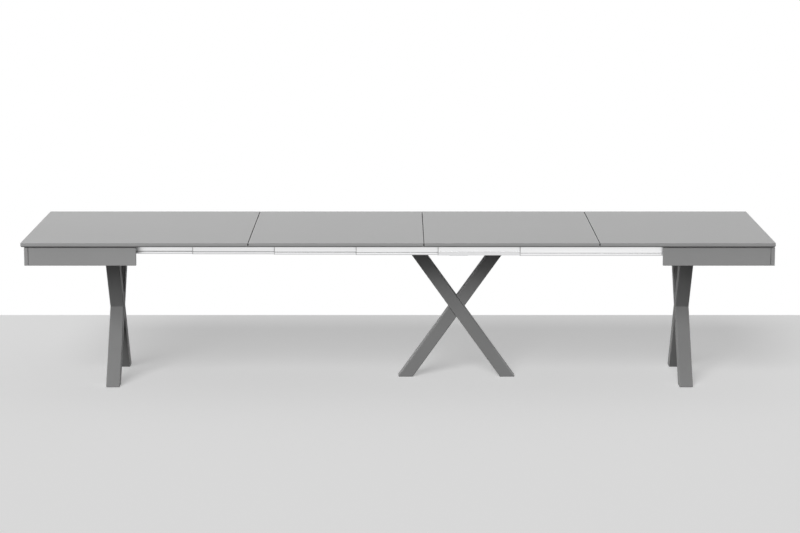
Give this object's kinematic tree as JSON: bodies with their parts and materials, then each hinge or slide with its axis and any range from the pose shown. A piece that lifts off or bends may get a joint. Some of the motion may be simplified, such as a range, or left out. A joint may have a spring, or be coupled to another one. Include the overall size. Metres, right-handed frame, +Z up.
{
  "type": "extending table",
  "caption": "Extending dining table: square main top, loose leaves on telescopic metal runners, crossed legs, and a middle leg that nests between the end legs when closed.",
  "frame": {"origin": "on the floor, under the middle of the extended top", "axes": "+X along the table from the fixed end to the sliding end, -Y towards the viewer, +Z up"},
  "size_m": [3.65, 1.1, 0.765],
  "materials": {
    "top_laminate": "matt grey laminate on board, fine grain",
    "apron_laminate": "matt grey laminate on board, fine grain",
    "frame_wood": "raw planed softwood",
    "leg_paint": "grey powder coat, fine texture",
    "runner_aluminium": "satin anodised, drawn lengthwise",
    "cap_plastic": "light grey moulded plastic",
    "foot_plastic": "mid grey moulded plastic",
    "zinc_steel": "bright zinc plate"
  },
  "bodies": {
    "fixed_end": {"main_top": "top_laminate", "left_end_board": "apron_laminate", "left_front_apron": "apron_laminate", "left_rear_apron": "apron_laminate", "left_corner_blocks": "frame_wood", "left_top_cleat": "frame_wood", "left_leg_through_bar": "leg_paint", "left_leg_upper_bar": "leg_paint", "left_leg_lower_bar": "leg_paint", "left_leg_pads": "foot_plastic", "left_leg_beam": "leg_paint", "left_leg_plates": "leg_paint", "left_leg_bolts": "zinc_steel", "left_beam_hangers": "zinc_steel", "left_front_runner": "runner_aluminium", "left_rear_runner": "runner_aluminium", "left_runner_packers": "zinc_steel"},
    "sliding_end": {"right_end_board": "apron_laminate", "right_front_apron": "apron_laminate", "right_rear_apron": "apron_laminate", "right_corner_blocks": "frame_wood", "right_leaf_cleat": "frame_wood", "right_leg_through_bar": "leg_paint", "right_leg_upper_bar": "leg_paint", "right_leg_lower_bar": "leg_paint", "right_leg_pads": "foot_plastic", "right_leg_beam": "leg_paint", "right_leg_plates": "leg_paint", "right_leg_bolts": "zinc_steel", "right_beam_hangers": "zinc_steel", "right_front_runner": "runner_aluminium", "right_rear_runner": "runner_aluminium"},
    "runner_stage_1": {"front_runner_1": "runner_aluminium", "rear_runner_1": "runner_aluminium", "runner_caps_1": "cap_plastic"},
    "runner_stage_2": {"front_runner_2": "runner_aluminium", "rear_runner_2": "runner_aluminium", "runner_caps_2": "cap_plastic"},
    "runner_stage_3": {"front_runner_3": "runner_aluminium", "rear_runner_3": "runner_aluminium", "runner_caps_3": "cap_plastic"},
    "runner_stage_4": {"front_runner_4": "runner_aluminium", "rear_runner_4": "runner_aluminium", "runner_caps_4": "cap_plastic", "middle_leg_through_bar": "leg_paint", "middle_leg_upper_bar": "leg_paint", "middle_leg_lower_bar": "leg_paint", "middle_leg_pads": "foot_plastic", "middle_leg_top_bar": "leg_paint", "middle_leg_carrier": "zinc_steel", "middle_leg_bolts": "zinc_steel"},
    "runner_stage_5": {"front_runner_5": "runner_aluminium", "rear_runner_5": "runner_aluminium", "runner_caps_5": "cap_plastic"},
    "runner_stage_6": {"front_runner_6": "runner_aluminium", "rear_runner_6": "runner_aluminium", "runner_caps_6": "cap_plastic"},
    "leaf_1": {"leaf_1": "top_laminate"},
    "leaf_2": {"leaf_2": "top_laminate"},
    "leaf_3": {"leaf_3": "top_laminate"}
  },
  "joints": [
    {"name": "closing_slide", "type": "slide", "parent": "fixed_end", "child": "sliding_end", "axis": [-1, 0, 0], "range_m": [0, 2.55]},
    {"name": "runner_1_slide", "type": "slide", "parent": "fixed_end", "child": "runner_stage_1", "axis": [-1, 0, 0], "range_m": [0, 0.369]},
    {"name": "runner_2_slide", "type": "slide", "parent": "fixed_end", "child": "runner_stage_2", "axis": [-1, 0, 0], "range_m": [0, 0.767]},
    {"name": "runner_3_slide", "type": "slide", "parent": "fixed_end", "child": "runner_stage_3", "axis": [-1, 0, 0], "range_m": [0, 1.165]},
    {"name": "runner_4_slide", "type": "slide", "parent": "fixed_end", "child": "runner_stage_4", "axis": [-1, 0, 0], "range_m": [0, 1.563]},
    {"name": "runner_5_slide", "type": "slide", "parent": "fixed_end", "child": "runner_stage_5", "axis": [-1, 0, 0], "range_m": [0, 1.961]},
    {"name": "runner_6_slide", "type": "slide", "parent": "fixed_end", "child": "runner_stage_6", "axis": [-1, 0, 0], "range_m": [0, 2.359]},
    {"name": "leaf_1_lift", "type": "slide", "parent": "fixed_end", "child": "leaf_1", "axis": [0, 0, 1], "range_m": [0, 0.4]},
    {"name": "leaf_2_lift", "type": "slide", "parent": "fixed_end", "child": "leaf_2", "axis": [0, 0, 1], "range_m": [0, 0.4]},
    {"name": "leaf_3_lift", "type": "slide", "parent": "fixed_end", "child": "leaf_3", "axis": [0, 0, 1], "range_m": [0, 0.4]}
  ],
  "couplings": [
    {"joint": "runner_1_slide", "follows": "closing_slide", "ratio": 0.14471},
    {"joint": "runner_2_slide", "follows": "closing_slide", "ratio": 0.30078},
    {"joint": "runner_3_slide", "follows": "closing_slide", "ratio": 0.45686},
    {"joint": "runner_4_slide", "follows": "closing_slide", "ratio": 0.61294},
    {"joint": "runner_5_slide", "follows": "closing_slide", "ratio": 0.76902},
    {"joint": "runner_6_slide", "follows": "closing_slide", "ratio": 0.9251}
  ]
}
